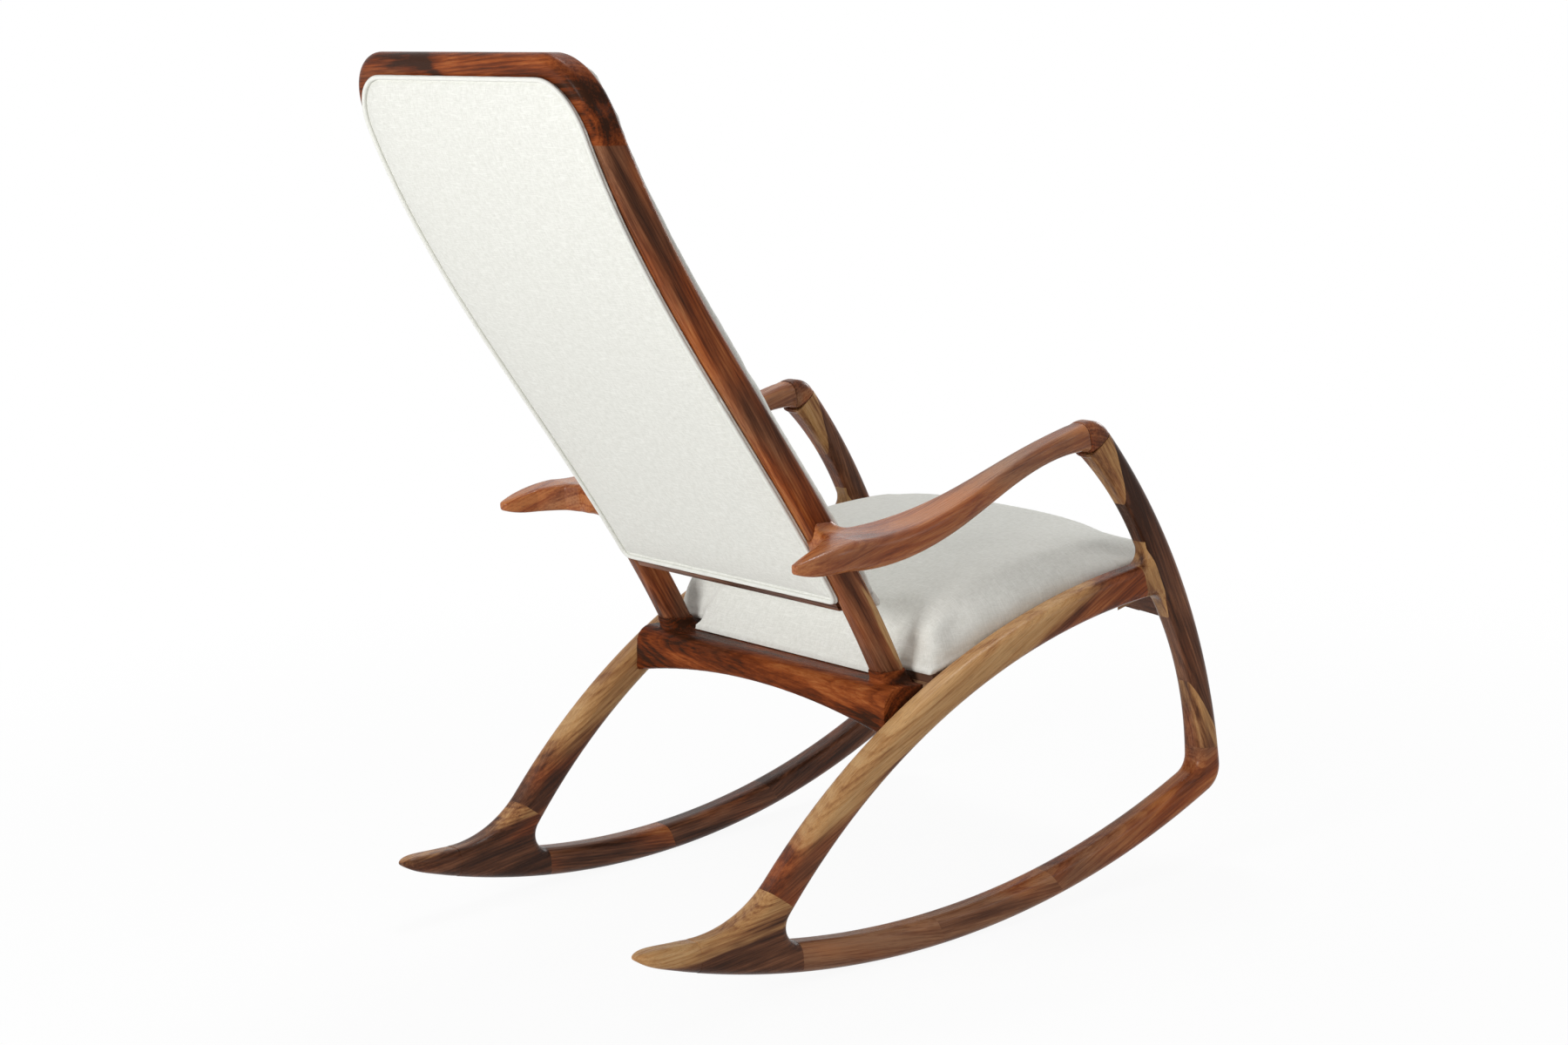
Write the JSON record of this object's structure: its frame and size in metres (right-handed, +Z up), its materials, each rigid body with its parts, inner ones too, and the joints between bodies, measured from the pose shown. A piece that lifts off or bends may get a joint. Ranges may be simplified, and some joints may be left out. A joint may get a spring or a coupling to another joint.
{
  "type": "rocking chair",
  "caption": "High-back upholstered rocking chair in sculpted hardwood, with paddle arms and side frames made in one sweep with their rockers.",
  "frame": {"origin": "on the floor, midway between the side frames and midway between the chair's front and rear limits at rest", "axes": "+Z up, -Y to the sitter's front, +X to the sitter's left"},
  "size_m": [0.6788, 0.9194, 1.1375],
  "materials": {
    "walnut": "oiled, satin",
    "walnut_light": "oiled, satin, with sapwood",
    "block_wood": "sawn",
    "joinery_wood": "planed beech",
    "plywood": "birch plywood",
    "fabric": "plain-woven linen blend",
    "steel": "zinc plated"
  },
  "bodies": {
    "root": {"arm_dowels": "joinery_wood", "back_board": "plywood", "back_bottom_rail": "walnut", "back_pad": "fabric", "back_panel": "fabric", "back_panel_welt": "fabric", "back_tenons": "joinery_wood", "crest_rail": "walnut", "front_seat_rail": "walnut", "left_arm": "walnut", "left_front_corner_block": "block_wood", "left_front_leg": "walnut", "left_knuckle": "walnut", "left_leg_foot_block": "walnut", "left_leg_rail_block": "walnut", "left_leg_top_block": "walnut", "left_rear_corner_block": "block_wood", "left_rocker_front": "walnut", "left_rocker_middle": "walnut", "left_rocker_rear": "walnut", "left_rocker_tail": "walnut_light", "left_side_rail": "walnut_light", "left_stile": "walnut", "rear_seat_rail": "walnut", "right_arm": "walnut", "right_front_corner_block": "block_wood", "right_front_leg": "walnut", "right_knuckle": "walnut", "right_leg_foot_block": "walnut", "right_leg_rail_block": "walnut", "right_leg_top_block": "walnut", "right_rear_corner_block": "block_wood", "right_rocker_front": "walnut", "right_rocker_middle": "walnut", "right_rocker_rear": "walnut", "right_rocker_tail": "walnut_light", "right_side_rail": "walnut_light", "right_stile": "walnut", "seat_board": "plywood", "seat_cushion": "fabric", "seat_rail_dowels": "joinery_wood", "seat_screws": "steel", "side_frame_tenons": "joinery_wood"}
  },
  "joints": []
}
